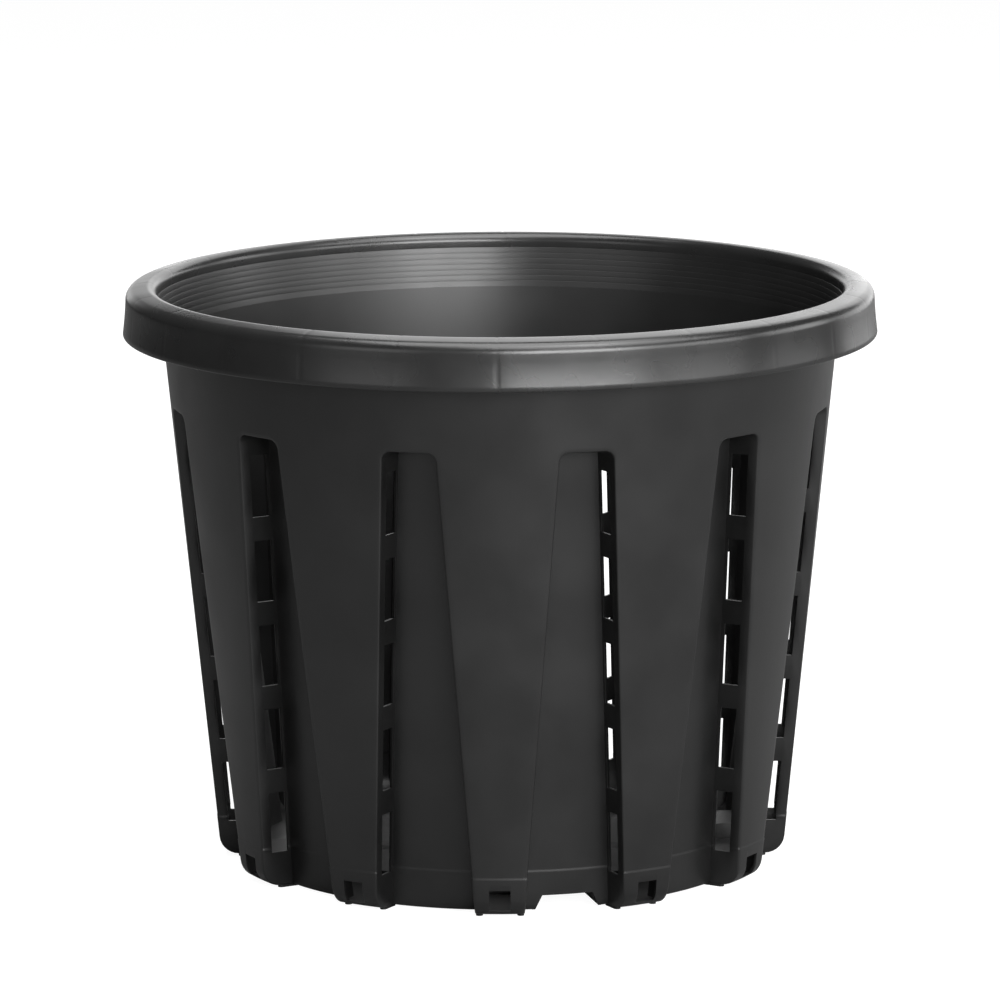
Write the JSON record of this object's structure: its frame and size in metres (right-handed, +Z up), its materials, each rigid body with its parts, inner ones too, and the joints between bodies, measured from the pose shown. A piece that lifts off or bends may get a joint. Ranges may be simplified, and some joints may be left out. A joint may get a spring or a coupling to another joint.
{
  "type": "plant pot",
  "caption": "Round nursery pot with a turned-down rim; its wall folds into tapering ribs with air slots in their sides that stop roots circling.",
  "frame": {"origin": "on the resting plane, under the middle of the pot", "axes": "+Z up, out of the mouth; -Y the front, where one rib faces the camera; +X to the right"},
  "size_m": [0.3999, 0.4, 0.31],
  "materials": {
    "rim_plastic": "moulded polypropylene, satin",
    "wall_plastic": "moulded polypropylene, satin",
    "inner_plastic": "moulded polypropylene, finely stepped",
    "floor_plastic": "moulded polypropylene, satin"
  },
  "bodies": {
    "root": {"rim_crown": "rim_plastic", "rim_skirt": "rim_plastic", "rim_gussets": "rim_plastic", "stacking_band": "inner_plastic", "collar": "wall_plastic", "recess_ledges": "wall_plastic", "rib_face_01": "wall_plastic", "rib_face_02": "wall_plastic", "rib_face_03": "wall_plastic", "rib_face_04": "wall_plastic", "rib_face_05": "wall_plastic", "rib_face_06": "wall_plastic", "rib_face_07": "wall_plastic", "rib_face_08": "wall_plastic", "rib_face_09": "wall_plastic", "rib_face_10": "wall_plastic", "rib_face_11": "wall_plastic", "rib_face_12": "wall_plastic", "rib_sides_01": "wall_plastic", "rib_sides_02": "wall_plastic", "rib_sides_03": "wall_plastic", "rib_sides_04": "wall_plastic", "rib_sides_05": "wall_plastic", "rib_sides_06": "wall_plastic", "rib_sides_07": "wall_plastic", "rib_sides_08": "wall_plastic", "rib_sides_09": "wall_plastic", "rib_sides_10": "wall_plastic", "rib_sides_11": "wall_plastic", "rib_sides_12": "wall_plastic", "panel_01": "wall_plastic", "panel_02": "wall_plastic", "panel_03": "wall_plastic", "panel_04": "wall_plastic", "panel_05": "wall_plastic", "panel_06": "wall_plastic", "panel_07": "wall_plastic", "panel_08": "wall_plastic", "panel_09": "wall_plastic", "panel_10": "wall_plastic", "panel_11": "wall_plastic", "panel_12": "wall_plastic", "rib_feet": "wall_plastic", "floor_gutter": "floor_plastic", "floor_centre": "floor_plastic", "drain_channels": "floor_plastic", "foot_pads": "floor_plastic"}
  },
  "joints": []
}
